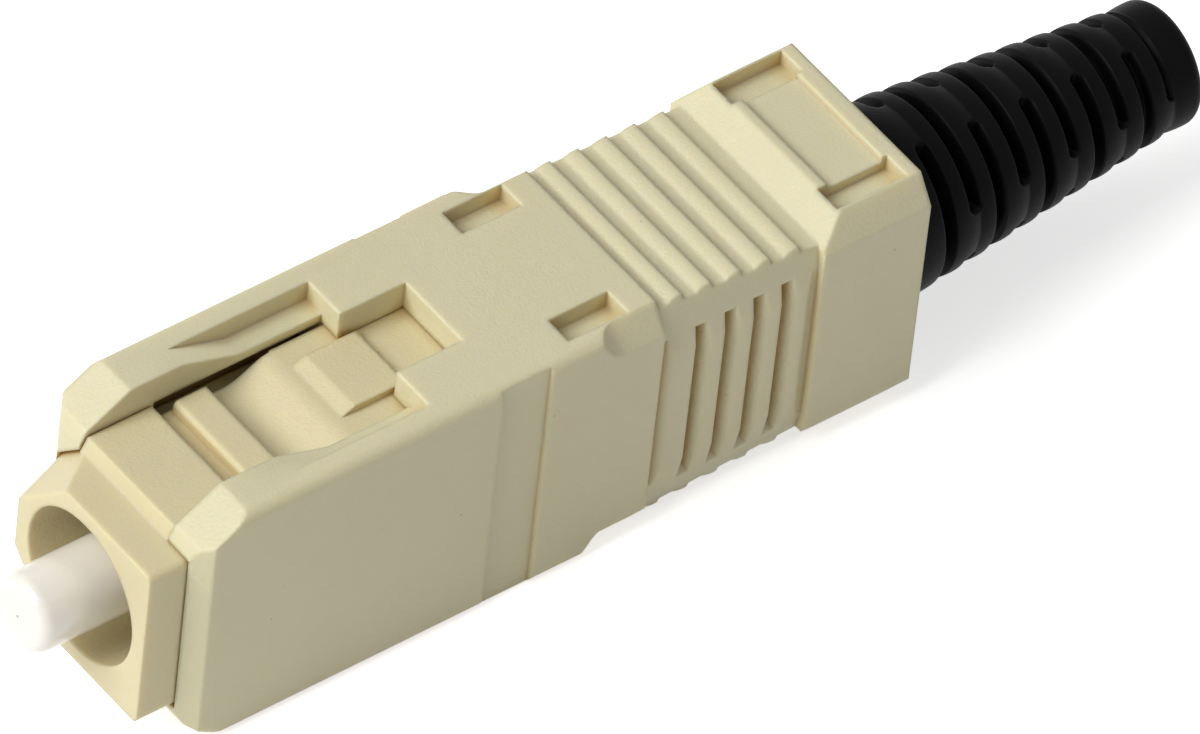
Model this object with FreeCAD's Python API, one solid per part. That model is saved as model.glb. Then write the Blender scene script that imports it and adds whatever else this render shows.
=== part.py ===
import FreeCAD, Part
import math
import os

# A push-pull SC plug for one optical fibre, rebuilt piece by piece.
# X runs from the ferrule tip to the cable end, Z is up, X = 0 is the plug frame's front face.
# The plug lies on its lower window face with the grip pulled back; the key is on +Y.

V = FreeCAD.Vector
os.makedirs("parts", exist_ok=True)

# ---------------------------------------------------------------- driving sizes, mm
PLUG_WIDTH = 7.4               # grip across the key sides
PLUG_HEIGHT = 9.0              # grip across the window sides
GRIP_FRONT_X = 1.3
GRIP_REAR_X = 27.5
GRIP_TRAVEL = 1.75             # how far the grip slides forward on the frame
FERRULE_D = 2.499
FERRULE_LENGTH = 10.5
FERRULE_LAND_X = 5.2           # the straight ground land ends here
FERRULE_SEAT_D = 2.47          # rear end, tapered slightly where it is pressed into the flange
FERRULE_TIP_X = -2.2
FERRULE_TRAVEL = 1.5           # how far the ferrule can be pushed in
FRAME_WIDTH = 6.14
FRAME_HEIGHT = 6.0
FRAME_LENGTH = 15.8
FRAME_WALL_FRONT = 0.57        # thinnest wall beside the front bore
FRAME_WALL_REAR = 0.62         # and beside the wider rear cavity
FRONT_BORE_D = FRAME_WIDTH - 2 * FRAME_WALL_FRONT
REAR_CAVITY_R = FRAME_WIDTH / 2 - FRAME_WALL_REAR
CABLE_D = 3.0
BOOT_END_X = 39.4

# ---------------------------------------------------------------- clearances, mm
SLIDE_GAP = 0.05               # between plastic faces that slide on each other
GUIDE_GAP = 0.03               # radial, ferrule flange in the frame
TAIL_GAP = 0.05                # radial, flange tail in the stop ring
FERRULE_GAP = 0.20             # radial, ferrule through the frame's inner web
BOOT_GAP = 0.15                # radial, boot inside the grip's rear mouth
SEAT_GAP = 0.01                # pressed pieces, so that solids touch without overlap

# ---------------------------------------------------------------- grip
GRIP_EDGE_R = 0.40             # long edges away from the key
GRIP_KEY_EDGE_R = 0.20         # long edges on the key side
NOSE = ((1.30, 3.20), (1.50, 3.60), (3.00, 4.50))
NOSE_SIDE = ((1.30, 3.14), (1.80, 3.70))
NOSE_EDGE_R = 0.15
REAR_ROUND = 0.80              # lower rear edge
CHANNEL_HALF = 2.15
LEDGE_HALF = 2.90
LEDGE_START_X = 4.85
LEDGE_FLAT_X = 6.90
LEDGE_Z = 3.80
SHOULDER_X = 9.85
POCKET_HALF = 1.36
POCKET_REAR_X = 12.2
ROOF_Z = 3.50                  # underside of the grip over the frame's raised deck
ROOF_END_X = FRAME_LENGTH - 0.8
ARM_RELIEF_X = 3.9
SMALL_RECESS = (14.77, 16.9, 2.05, 3.03)
SMALL_RECESS_DEPTH = 0.60
BAND_X = (12.0, 13.75)
BAND_DEPTH = 0.15
CHAMFER_Y = 0.62
CHAMFER_Z = 0.90
CHAMFER_STEPS = ((15.3, 0.22), (15.62, 0.30), (15.84, 0.62), (16.08, 0.90), (16.35, 1.0))
CAVITY_END_X = FRAME_LENGTH + GRIP_TRAVEL + SLIDE_GAP
REAR_BORE_R = 2.75
MOUTH_X = 24.7
LUG_POCKET_X = (5.0, 8.80)
LUG_POCKET_RISE = 0.28         # how far the lugs' pockets reach past the frame's side
LUG_POCKET_HALF = 1.0

# finger zone
ZONE_X = 17.85
ZONE_END_X = 23.64
RAMP_FOOT_X = 23.68
RAMP_TOP_X = 24.55
ZONE_Z_FRONT = 4.22            # groove floor at the front of the zone
ZONE_Z_REAR = 3.76             # and where the ramp starts
RIB_PITCH = 1.054
RIB_COUNT = 5
RIB_HEIGHT = 0.20
RIB_LENGTH = 0.55
RIB_FIRST_X = 18.75            # steep rear edge of the first rib
RIB_REAR_SLOPE = 0.04
ZONE_SECTION = ((3.58, 2.3), (3.37, 3.55), (3.02, 4.9))
SIDE_GROOVES = (19.18, 20.24, 21.28, 22.30)
SIDE_GROOVE_LENGTH = 0.62
SIDE_GROOVE_DEPTH = 0.42
SIDE_GROOVE_FIRST_DEPTH = 0.28
GROOVE_FRONT = 0.04            # run of a groove's steep front wall
GROOVE_FLAT = 0.36             # where its flat floor ends, as a share of its length
GROOVE_SHOULDER = (0.62, 0.30)
SIDE_GROOVE_LAST = (23.22, 0.13)
SIDE_GROOVE_ENDS = ((2.55, 3.0), (3.30, 3.75))

# end block recess
BLOCK_POCKET = (24.53, 27.05, 2.03, 3.0)
BLOCK_POCKET_DEPTH = 0.55
BLOCK_CENTRE = (24.88, 26.88)
BLOCK_CENTRE_DEPTH = 0.20

# key
KEY_X = (5.5, 24.0)
KEY_HALF = 1.0
KEY_HEIGHT = 0.80

# ---------------------------------------------------------------- plug frame
LEAD_FRONT = 2.05              # corner chamfer at the front face, key side
LEAD_REAR = 1.00               # the same chamfer where the grip begins
LEAD_X = 1.5
FRAME_EDGE_R = 0.25
DECK_Z = 3.45
DECK_HALF = 2.10
PLATE_X = (1.3, 3.8)
PLATE_NOSE = 0.22
SLOT_FLOOR_Z = 3.05
BAR_X = (4.43, 5.57)
BAR_HALF = 1.90
BAR_R = 0.16
TROUGH_HALF = 2.02
TROUGH_Z = 2.25
CHANNEL_FLOOR_Z = 2.86
RAMP_X = (6.35, 7.95)
DECK_END_X = FRAME_LENGTH - 2.8
BLOCK_X = (8.10, 8.57, 10.38)
BLOCK_HALF = 1.20
BLOCK_Z = 3.68
WEB_X = (5.4, 6.4)
LUG_X = (5.05, 7.0)
LUG_RISE = 0.23                # how far the side lugs stand out of the frame
LUG_ROOT = 0.17                # and how deep they are rooted in it
LUG_SLOPE = 0.5
LUG_HALF = 0.9
WINDOW_X = (FRAME_LENGTH - 2.4, FRAME_LENGTH - 1.1)
WINDOW_HALF = 0.9

# ---------------------------------------------------------------- ferrule, flange, spring
FERRULE_TIP_ROUND = 0.42
FIBRE_HOLE_D = 0.126
FLANGE_LENGTH = 1.7
FLANGE_NOTCH = 0.7
FLANGE_NOTCH_DEPTH = 0.6
FLANGE_RIM = 0.5               # unbroken rim behind the notches
HUB_R = 1.45
HUB_LENGTH = 1.3
TAIL_R = 1.0
TAIL_HOLE_R = 0.5
SPRING_WIRE_D = 0.40
SPRING_R = 1.78
SPRING_TURNS = 5

# ---------------------------------------------------------------- stop ring, sleeve, boot
STOP_DEPTH = 3.2               # how far the stop ring reaches into the frame
STOP_FRONT_X = FRAME_LENGTH - STOP_DEPTH
TAIL_END_X = STOP_FRONT_X + 1.0
SNAP_R = 2.80
SNAP_ROOT_R = 2.0
SNAP_FRONT_GAP = 0.1           # the snap in the frame's cross window
SNAP_REAR_GAP = 0.02
SNAP_LAND = 0.38               # flat crest of the snap
COLLAR_R = 2.60
COLLAR_LENGTH = 1.2
WAIST_R = 2.25
WAIST_LENGTH = 4.0
WAIST_END_X = FRAME_LENGTH + WAIST_LENGTH
BARREL_R = 1.60
BARREL_END_X = 25.2
BARREL_RINGS = 6
BARREL_RING_DEPTH = 0.12
BARREL_RING_SHARE = 0.4        # a groove's length as a share of the spacing
BARREL_FIRST_RING = 0.6        # from the sleeve's front edge
SLEEVE_WALL = 0.35
SLEEVE_WAIST_GAP = 0.2
SLEEVE_X = (WAIST_END_X + SLEEVE_WAIST_GAP, 26.6, 31.6)
SLEEVE_NECK = 0.5              # length of the step down to the cable size
BOOT_START_X = 25.7
BOOT_COLLAR_R = 3.02
BOOT_COLLAR_END_X = 28.1
BOOT_RING_FIRST_X = 29.5
BOOT_RING_PITCH = 0.976
BOOT_RINGS = 10
BOOT_RING_R_FIRST = 2.84
BOOT_RING_R_LAST = 1.945
BOOT_END_R = 2.0
BOOT_BULGE = 0.075
BOOT_SLOT_FIRST_X = 29.30
BOOT_SLOT_PITCH = 0.99
BOOT_SLOT_WIDTH = 0.42
BOOT_SLOT_HALF_ANGLE = 67.0
BOOT_SLOT_WALL = 0.16
BOOT_SLOT_DEPTH = 0.75
BOOT_END_ROUND = 0.35


def box(x0, x1, y0, y1, z0, z1):
    return Part.makeBox(x1 - x0, y1 - y0, z1 - z0, V(x0, y0, z0))


def centred(x0, x1, half_y, z0, z1):
    return box(x0, x1, -half_y, half_y, z0, z1)


def rod(radius, x0, x1):
    return Part.makeCylinder(radius, x1 - x0, V(x0, 0, 0), V(1, 0, 0))


def tube(outer, inner, x0, x1):
    return rod(outer, x0, x1).cut(rod(inner, x0 - 1, x1 + 1))


def prism_along_x(points, x0, x1):
    ring = [V(x0, y, z) for y, z in points]
    face = Part.Face(Part.makePolygon(ring + [ring[0]]))
    return face.extrude(V(x1 - x0, 0, 0))


def prism_along_y(points, y0, y1):
    ring = [V(x, y0, z) for x, z in points]
    face = Part.Face(Part.makePolygon(ring + [ring[0]]))
    return face.extrude(V(0, y1 - y0, 0))


def prism_along_z(points, z0, z1):
    ring = [V(x, y, z0) for x, y in points]
    face = Part.Face(Part.makePolygon(ring + [ring[0]]))
    return face.extrude(V(0, 0, z1 - z0))


def turned(profile):
    ring = [V(x, 0, r) for x, r in profile]
    face = Part.Face(Part.makePolygon(ring + [ring[0]]))
    return face.revolve(V(0, 0, 0), V(1, 0, 0), 360)


def flip_z(shape):
    return shape.mirror(V(0, 0, 0), V(0, 0, 1))


def flip_y(shape):
    return shape.mirror(V(0, 0, 0), V(0, 1, 0))


def both_z(shape):
    return [shape, flip_z(shape)]


def both_y(shape):
    return [shape, flip_y(shape)]


def edges_where(shape, test):
    found = []
    for edge in shape.Edges:
        box_of_edge = edge.BoundBox
        if test(box_of_edge):
            found.append(edge)
    return found


def near(a, b, tolerance=0.01):
    return abs(a - b) < tolerance


def save(name, shape):
    if len(shape.Solids) == 1:
        shape = shape.Solids[0]
    shape.exportStep("parts/" + name + ".step")


# ================================================================ grip (outer housing)
HALF_W = PLUG_WIDTH / 2
HALF_H = PLUG_HEIGHT / 2
NOSE_RATE = (NOSE[2][1] - NOSE[1][1]) / (NOSE[2][0] - NOSE[1][0])
FILLET_NOSE = False


def rounded_section():
    """Outline of the grip across X, with large corners away from the key and small ones beside it."""
    block = box(NOSE[0][0], GRIP_REAR_X, -HALF_W, HALF_W, -HALF_H, HALF_H)
    plain_side = edges_where(block, lambda b: near(b.YMax, -HALF_W) and near(b.ZMin, b.ZMax))
    block = block.makeFillet(GRIP_EDGE_R, plain_side)
    key_side = edges_where(block, lambda b: near(b.YMin, HALF_W) and near(b.ZMin, b.ZMax))
    return block.makeFillet(GRIP_KEY_EDGE_R, key_side)


def nose_cutters():
    """Lead-in slopes at the front: one on each window face and one on each key face."""
    far = HALF_H + 1
    front = GRIP_FRONT_X - 1
    x_end = NOSE[-1][0] + 1 / NOSE_RATE
    window = [(front, NOSE[0][1])] + list(NOSE) + [(x_end, far), (front, far)]
    (x0, y0), (x1, y1) = NOSE_SIDE
    out = y1 + 1
    side = [(front, y0), (x0, y0), (x1, y1), (x1 + (x1 - x0) / (y1 - y0), out), (front, out)]
    return both_z(prism_along_y(window, -far, far)) + both_y(prism_along_z(side, -far, far))


def rear_round_cutter():
    x0 = GRIP_REAR_X - REAR_ROUND
    z0 = -HALF_H + REAR_ROUND
    turn = REAR_ROUND * math.cos(math.radians(45))
    start = V(x0, 0, -HALF_H)
    end = V(GRIP_REAR_X, 0, z0)
    corner = V(GRIP_REAR_X + 1, 0, -HALF_H - 1)
    edges = [Part.Arc(start, V(x0 + turn, 0, z0 - turn), end).toShape(),
             Part.makeLine(end, V(GRIP_REAR_X + 1, 0, z0)),
             Part.makeLine(V(GRIP_REAR_X + 1, 0, z0), corner),
             Part.makeLine(corner, V(x0, 0, -HALF_H - 1)),
             Part.makeLine(V(x0, 0, -HALF_H - 1), start)]
    face = Part.Face(Part.Wire(edges))
    face.translate(V(0, -HALF_W - 1, 0))
    return face.extrude(V(0, PLUG_WIDTH + 2, 0))


def grip_shell():
    shell = rounded_section().cut(nose_cutters() + [rear_round_cutter()])
    slope_ends = edges_where(shell, lambda b: b.XMax < NOSE[-1][0] + 0.1 and b.XMax - b.XMin > 0.2
                             and b.YMax < -NOSE_SIDE[0][1] and b.YMax - b.YMin < 0.5)
    return shell.makeFillet(NOSE_EDGE_R, slope_ends) if FILLET_NOSE else shell


def corner_wedge(x, scale):
    y = HALF_W - CHAMFER_Y * scale
    z = HALF_H - CHAMFER_Z * scale
    out = 0.5
    slope = CHAMFER_Z / CHAMFER_Y
    return Part.makePolygon([V(x, y - out / slope, HALF_H + out), V(x, HALF_W + out, HALF_H + out),
                             V(x, HALF_W + out, z - out * slope), V(x, y - out / slope, HALF_H + out)])


def corner_cutter():
    stations = [corner_wedge(x, scale) for x, scale in CHAMFER_STEPS]
    last_x = CHAMFER_STEPS[-1][0]
    run_in = Part.makeLoft(stations, True, False)
    rest = Part.Face(corner_wedge(last_x, 1.0)).extrude(V(GRIP_REAR_X + 1 - last_x, 0, 0))
    return run_in, rest


def cut_corners(shell):
    cutters = []
    for piece in corner_cutter():
        for one in both_z(piece):
            cutters.extend(both_y(one))
    return shell.cut(cutters)


def zone_floor_z(x):
    t = (x - ZONE_X) / (RAMP_FOOT_X - ZONE_X)
    return ZONE_Z_FRONT + t * (ZONE_Z_REAR - ZONE_Z_FRONT)


def rib_edges(last, rear_x):
    """Floor up to a rib, its curved front and its steep rear."""
    start = V(rear_x - RIB_LENGTH, 0, zone_floor_z(rear_x - RIB_LENGTH))
    radius = (RIB_LENGTH ** 2 + RIB_HEIGHT ** 2) / (2 * RIB_HEIGHT)
    half = RIB_LENGTH / 2
    rise = RIB_HEIGHT - radius + math.sqrt(radius ** 2 - half ** 2)
    middle = V(rear_x - half, 0, zone_floor_z(rear_x - half) + rise)
    top = V(rear_x, 0, zone_floor_z(rear_x) + RIB_HEIGHT)
    foot = V(rear_x + RIB_REAR_SLOPE, 0, zone_floor_z(rear_x + RIB_REAR_SLOPE))
    edges = [Part.makeLine(last, start), Part.Arc(start, middle, top).toShape(), Part.makeLine(top, foot)]
    return edges, foot


def finger_zone_cutter():
    """Everything above the ribbed, sloping finger rest, up to the ramp of the end block."""
    above = HALF_H + 1
    last = V(ZONE_X, 0, zone_floor_z(ZONE_X))
    edges = [Part.makeLine(V(ZONE_X, 0, above), last)]
    for i in range(RIB_COUNT):
        rib, last = rib_edges(last, RIB_FIRST_X + i * RIB_PITCH)
        edges.extend(rib)
    foot = V(RAMP_FOOT_X, 0, ZONE_Z_REAR)
    top = V(RAMP_TOP_X, 0, HALF_H)
    over = V(RAMP_TOP_X, 0, above)
    edges.append(Part.makeLine(last, foot))
    edges.append(Part.makeLine(foot, top))
    edges.append(Part.makeLine(top, over))
    edges.append(Part.makeLine(over, V(ZONE_X, 0, above)))
    face = Part.Face(Part.Wire(edges))
    face.translate(V(0, -HALF_W - 1, 0))
    return face.extrude(V(0, PLUG_WIDTH + 2, 0))


def side_zone_cutter():
    """Lowers the grip's side faces between the ribs' front and the end block."""
    out = HALF_W + 1
    far = HALF_H * 2
    points = [(out, -far)]
    for y, z in reversed(ZONE_SECTION):
        points.append((y, -z))
    for y, z in ZONE_SECTION:
        points.append((y, z))
    points.append((out, far))
    return prism_along_x(points, ZONE_X, ZONE_END_X)


def groove_ends():
    """Limits the side grooves in height, so that they run out on a slope at both ends."""
    (z0, y0), (z1, y1) = SIDE_GROOVE_ENDS
    points = [(y0, -z0), (y1, -z1), (y1 + 1, -z1), (y1 + 1, z1), (y1, z1), (y0, z0)]
    return prism_along_x(points, ZONE_X - 1, GRIP_REAR_X)


def side_groove(x, depth):
    """One groove of the side ribs: a steep wall in front and a wall rounded over towards the rear."""
    surface = ZONE_SECTION[0][0]
    floor = surface - depth
    rear = x + SIDE_GROOVE_LENGTH
    foot = V(x + SIDE_GROOVE_LENGTH * GROOVE_FLAT, floor, 0)
    shoulder = V(x + SIDE_GROOVE_LENGTH * GROOVE_SHOULDER[0], surface - depth * GROOVE_SHOULDER[1], 0)
    crest = V(rear, surface, 0)
    out = HALF_W + 0.5
    lip = V(x, surface, 0)
    toe = V(x + GROOVE_FRONT, floor, 0)
    edges = [Part.makeLine(V(x, out, 0), lip), Part.makeLine(lip, toe),
             Part.makeLine(toe, foot), Part.Arc(foot, shoulder, crest).toShape(),
             Part.makeLine(crest, V(rear, out, 0)), Part.makeLine(V(rear, out, 0), V(x, out, 0))]
    face = Part.Face(Part.Wire(edges))
    face.translate(V(0, 0, -HALF_H))
    return face.extrude(V(0, 0, PLUG_HEIGHT)).common(groove_ends())


def last_side_valley():
    x, depth = SIDE_GROOVE_LAST
    surface = ZONE_SECTION[0][0]
    points = [(x, surface), (x + 0.26, surface - depth), (ZONE_END_X, surface - depth),
              (ZONE_END_X, HALF_W + 0.5), (x, HALF_W + 0.5)]
    return prism_along_z(points, -HALF_H, HALF_H).common(groove_ends())


def cut_finger_zone(shell):
    cutters = both_z(finger_zone_cutter()) + both_y(side_zone_cutter())
    shell = shell.cut(cutters)
    grooves = both_y(side_groove(ZONE_X, SIDE_GROOVE_FIRST_DEPTH)) + both_y(last_side_valley())
    for x in SIDE_GROOVES:
        grooves.extend(both_y(side_groove(x, SIDE_GROOVE_DEPTH)))
    return shell.cut(grooves)


def window_cutters():
    """The open channel, its sunk ledges, the narrower pocket and the two small recesses."""
    top = HALF_H + 1
    base = FRAME_HEIGHT / 2 - 0.2
    channel = centred(GRIP_FRONT_X - 1, SHOULDER_X, CHANNEL_HALF, base, top)
    ledge_side = [(LEDGE_START_X, HALF_H), (LEDGE_FLAT_X, LEDGE_Z), (SHOULDER_X, LEDGE_Z),
                  (SHOULDER_X, top), (LEDGE_START_X, top)]
    ledge = prism_along_y(ledge_side, -LEDGE_HALF, LEDGE_HALF)
    pocket = centred(SHOULDER_X - 0.1, POCKET_REAR_X, POCKET_HALF, base, top)
    x0, x1, y0, y1 = SMALL_RECESS
    recess = box(x0, x1, y0, y1, HALF_H - SMALL_RECESS_DEPTH, top)
    return [channel, ledge, pocket, recess, flip_y(recess)]


def block_cutters():
    """The sunk panel on the end block: a shallow middle between two deeper pockets."""
    x0, x1, y0, y1 = BLOCK_POCKET
    top = HALF_H + 1
    pocket = box(x0, x1, y0, y1, HALF_H - BLOCK_POCKET_DEPTH, top)
    middle = centred(BLOCK_CENTRE[0], BLOCK_CENTRE[1], y0 + 0.01, HALF_H - BLOCK_CENTRE_DEPTH, top)
    return [pocket, flip_y(pocket), middle]


def frame_section(grow):
    half_w = FRAME_WIDTH / 2 + grow
    half_h = FRAME_HEIGHT / 2 + grow
    cut = LEAD_REAR
    return [(-half_w, -half_h), (half_w - cut, -half_h), (half_w, -half_h + cut),
            (half_w, half_h - cut), (half_w - cut, half_h), (-half_w, half_h)]


def grip_cavities():
    cavity = prism_along_x(frame_section(SLIDE_GAP), GRIP_FRONT_X - 1, CAVITY_END_X)
    roof = centred(SHOULDER_X - 1, ROOF_END_X, CHANNEL_HALF, -ROOF_Z, ROOF_Z)
    relief = centred(ARM_RELIEF_X, SHOULDER_X, FRAME_WIDTH / 2 + SLIDE_GAP, -ROOF_Z, ROOF_Z)
    bore = rod(REAR_BORE_R, CAVITY_END_X - 1, MOUTH_X + 0.5)
    mouth = rod(BOOT_COLLAR_R + BOOT_GAP, MOUTH_X, GRIP_REAR_X + 1)
    lug_reach = FRAME_WIDTH / 2 + LUG_POCKET_RISE
    pocket = box(LUG_POCKET_X[0], LUG_POCKET_X[1], 0, lug_reach, -LUG_POCKET_HALF, LUG_POCKET_HALF)
    return [cavity, roof, relief, bore, mouth] + both_y(pocket)


def side_bands():
    """Shallow band across each side face, over the full height of the grip."""
    return both_y(box(BAND_X[0], BAND_X[1], HALF_W - BAND_DEPTH, HALF_W + 1, -HALF_H - 1, HALF_H + 1))


def grip_key():
    key = box(KEY_X[0], KEY_X[1], HALF_W - 0.25, HALF_W + KEY_HEIGHT, -KEY_HALF, KEY_HALF)
    tops = edges_where(key, lambda b: near(b.YMin, HALF_W + KEY_HEIGHT))
    return key.makeFillet(0.15, tops)


def make_grip():
    shell = cut_corners(grip_shell())
    shell = shell.cut(side_bands())
    shell = cut_finger_zone(shell)
    cutters = []
    for piece in window_cutters() + block_cutters():
        cutters.extend(both_z(piece))
    shell = shell.cut(cutters)
    shell = shell.fuse(grip_key())
    return shell.cut(grip_cavities()).removeSplitter()


# ================================================================ plug frame
def frame_body():
    body = prism_along_x(frame_section(0), 0, FRAME_LENGTH)
    sharp = edges_where(body, lambda b: near(b.YMax, -FRAME_WIDTH / 2) and b.XMax - b.XMin > FRAME_LENGTH / 2)
    return body.makeFillet(FRAME_EDGE_R, sharp)


def lead_in_cutter():
    """Slanted plane that takes the frame's key-side corner down to a point-like nose."""
    half_w = FRAME_WIDTH / 2
    half_h = FRAME_HEIGHT / 2
    rate = (LEAD_FRONT - LEAD_REAR) / LEAD_X
    stations = []
    for x in (-0.5, LEAD_X + LEAD_REAR / rate):
        size = LEAD_FRONT - rate * x
        far = 1.0
        stations.append(Part.makePolygon([V(x, half_w - size - far, half_h + far), V(x, half_w + far, half_h + far),
                                          V(x, half_w + far, half_h - size - far),
                                          V(x, half_w - size - far, half_h + far)]))
    return Part.makeLoft(stations, True, True)


def deck():
    """Raised deck on a window face: plate, cross bar, ramp, flat and stop block."""
    base = FRAME_HEIGHT / 2 - 0.3
    x0, x1 = PLATE_X
    plate_side = [(x0, base), (x0, FRAME_HEIGHT / 2), (x0 + PLATE_NOSE, DECK_Z), (x1, DECK_Z), (x1, base)]
    plate = prism_along_y(plate_side, -DECK_HALF, DECK_HALF)
    bar = centred(BAR_X[0], BAR_X[1], BAR_HALF, base, DECK_Z)
    front_top = edges_where(bar, lambda b: near(b.XMax, BAR_X[0]) and near(b.ZMin, DECK_Z))
    bar = bar.makeFillet(BAR_R, front_top)
    flat = centred(RAMP_X[1] - 0.02, DECK_END_X, DECK_HALF - 0.03, base, DECK_Z)
    return [plate, bar, flat, deck_ramp(base), stop_block()]


def deck_ramp(base):
    x0, x1 = RAMP_X
    foot = V(x0, 0, CHANNEL_FLOOR_Z)
    bend = V(x0 + 0.42, 0, CHANNEL_FLOOR_Z + 0.10)
    rise = V(x0 + 0.72, 0, CHANNEL_FLOOR_Z + 0.26)
    crest = V(x1 - 0.42, 0, DECK_Z - 0.09)
    shoulder = V(x1 - 0.20, 0, DECK_Z - 0.02)
    top = V(x1, 0, DECK_Z)
    edges = [Part.makeLine(V(x0, 0, base - 0.3), foot), Part.Arc(foot, bend, rise).toShape(),
             Part.makeLine(rise, crest), Part.Arc(crest, shoulder, top).toShape(),
             Part.makeLine(top, V(x1, 0, base - 0.3)), Part.makeLine(V(x1, 0, base - 0.3), V(x0, 0, base - 0.3))]
    face = Part.Face(Part.Wire(edges))
    face.translate(V(0, -TROUGH_HALF, 0))
    return face.extrude(V(0, 2 * TROUGH_HALF, 0))


def stop_block():
    x0, x1, x2 = BLOCK_X
    base = DECK_Z - 0.1
    side = [(x0, base), (x0, DECK_Z), (x1, BLOCK_Z), (x2, BLOCK_Z), (x2, base)]
    return prism_along_y(side, -BLOCK_HALF, BLOCK_HALF)


def deck_troughs():
    """What is taken out of the frame's face under the window before the deck is added."""
    top = FRAME_HEIGHT / 2 + 1
    x0 = PLATE_X[1]
    x1 = RAMP_X[1]
    side = box(x0, x1, TROUGH_HALF, FRAME_WIDTH / 2 + 1, TROUGH_Z, top)
    floor = centred(BAR_X[1], RAMP_X[0] + 0.02, TROUGH_HALF + 0.1, CHANNEL_FLOOR_Z, top)
    under_ramp = centred(RAMP_X[0], x1, TROUGH_HALF + 0.1, CHANNEL_FLOOR_Z - 0.2, top)
    end = centred(DECK_END_X, FRAME_LENGTH + 1, FRAME_WIDTH, FRAME_HEIGHT / 2 - 0.01, top)
    return [side, flip_y(side), floor, under_ramp, end]


def frame_lug():
    wall = FRAME_WIDTH / 2
    root = wall - LUG_ROOT
    crest = wall + LUG_RISE
    side = [(LUG_X[0], root), (LUG_X[0], crest), (LUG_X[1] - LUG_SLOPE, crest), (LUG_X[1], wall),
            (LUG_X[1], root)]
    return prism_along_z(side, -LUG_HALF, LUG_HALF)


def frame_bores():
    front = rod(FRONT_BORE_D / 2, -1, WEB_X[0])
    web = rod(FERRULE_D / 2 + FERRULE_GAP, 0, FRAME_LENGTH)
    cavity = rod(REAR_CAVITY_R, WEB_X[1], FRAME_LENGTH + 1)
    window = centred(WINDOW_X[0], WINDOW_X[1], WINDOW_HALF, 0, FRAME_HEIGHT)
    return [front, web, cavity] + both_z(window)


def make_frame():
    body = frame_body()
    body = body.cut(both_z(lead_in_cutter()))
    cuts = []
    for piece in deck_troughs():
        cuts.extend(both_z(piece))
    body = body.cut(cuts)
    adds = []
    for piece in deck():
        adds.extend(both_z(piece))
    adds.extend(both_y(frame_lug()))
    body = body.fuse(adds)
    return body.cut(frame_bores()).removeSplitter()


# ================================================================ ferrule, flange, spring
def ferrule_taper(end_x):
    """Rear part of the ferrule, which narrows very slightly towards the flange."""
    rear = FERRULE_TIP_X + FERRULE_LENGTH
    rate = (FERRULE_D - FERRULE_SEAT_D) / 2 / (rear - FERRULE_LAND_X)
    end_r = FERRULE_D / 2 - rate * (end_x - FERRULE_LAND_X)
    return Part.makeCone(FERRULE_D / 2, end_r, end_x - FERRULE_LAND_X, V(FERRULE_LAND_X, 0, 0), V(1, 0, 0))


def make_ferrule():
    rear = FERRULE_TIP_X + FERRULE_LENGTH
    land = rod(FERRULE_D / 2, FERRULE_TIP_X, FERRULE_LAND_X)
    tip = edges_where(land, lambda b: near(b.XMax, FERRULE_TIP_X))
    blank = land.makeFillet(FERRULE_TIP_ROUND, tip).fuse(ferrule_taper(rear))
    funnel = Part.makeCone(FIBRE_HOLE_D / 2, 0.5, 1.2, V(rear - 1.2, 0, 0), V(1, 0, 0))
    hole = rod(FIBRE_HOLE_D / 2, FERRULE_TIP_X - 1, rear)
    return blank.cut([hole, funnel])


def make_flange():
    start = WEB_X[1]
    end = start + FLANGE_LENGTH
    seat_end = FERRULE_TIP_X + FERRULE_LENGTH
    disc = rod(REAR_CAVITY_R - GUIDE_GAP, start, end)
    hub = rod(HUB_R, end - 0.1, end + HUB_LENGTH)
    tail = rod(TAIL_R, end, TAIL_END_X)
    body = disc.fuse([hub, tail])
    seat = ferrule_taper(seat_end)
    hole = rod(TAIL_HOLE_R, start, TAIL_END_X + 1)
    notch = box(start - 1, end - FLANGE_RIM, REAR_CAVITY_R - FLANGE_NOTCH_DEPTH, REAR_CAVITY_R + 1,
                -FLANGE_NOTCH / 2, FLANGE_NOTCH / 2)
    turned_notches = []
    for angle in (0, 90, 180, 270):
        one = notch.copy()
        one.rotate(V(0, 0, 0), V(1, 0, 0), angle)
        turned_notches.append(one)
    return body.cut([seat, hole] + turned_notches).removeSplitter()


def make_spring():
    wire = SPRING_WIRE_D / 2
    start = WEB_X[1] + FLANGE_LENGTH + wire
    end = STOP_FRONT_X - wire
    pitch = (end - start) / SPRING_TURNS
    path = Part.makeHelix(pitch, end - start, SPRING_R)
    section = Part.Wire([Part.makeCircle(wire, V(SPRING_R, 0, 0), V(0, 1, 0))])
    coil = Part.Wire(path).makePipeShell([section], True, True)
    coil.rotate(V(0, 0, 0), V(0, 1, 0), 90)
    coil.translate(V(start, 0, 0))
    return coil


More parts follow.
